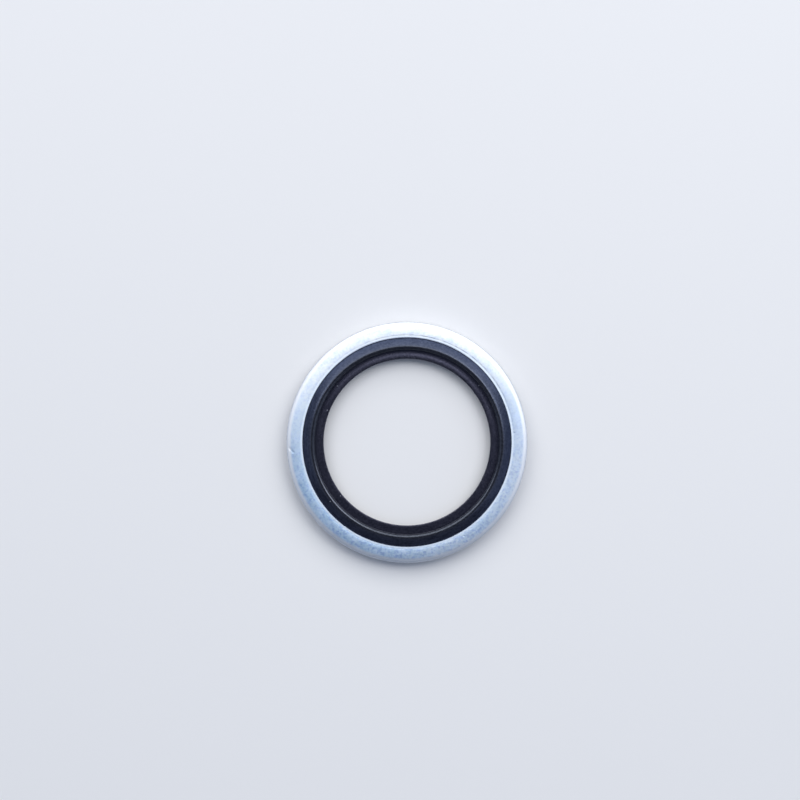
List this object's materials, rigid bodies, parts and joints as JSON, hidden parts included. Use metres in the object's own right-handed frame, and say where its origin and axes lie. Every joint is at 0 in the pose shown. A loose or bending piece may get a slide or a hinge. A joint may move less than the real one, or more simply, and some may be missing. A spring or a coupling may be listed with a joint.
{
  "type": "bonded sealing washer",
  "caption": "Flat steel ring with a rubber sealing ring bonded into its bore: lips on both faces seal a joint, and a thin inner fin centres it on a pipe thread.",
  "frame": {"origin": "centre of the washer: on the axis of the bore, at mid thickness", "axes": "+Z along the axis of the bore, square to the flat faces; the two faces are alike, so either way up is the same, and X and Y are any two directions square to it"},
  "size_m": [0.035, 0.035, 0.0032],
  "materials": {
    "zinc_plated_steel": "satin, zinc plated with a pale blue passivation",
    "nitrile_rubber": "moulded, matt with a slight sheen"
  },
  "bodies": {
    "root": {"steel_ring": "zinc_plated_steel", "rubber_seal": "nitrile_rubber"}
  },
  "joints": []
}
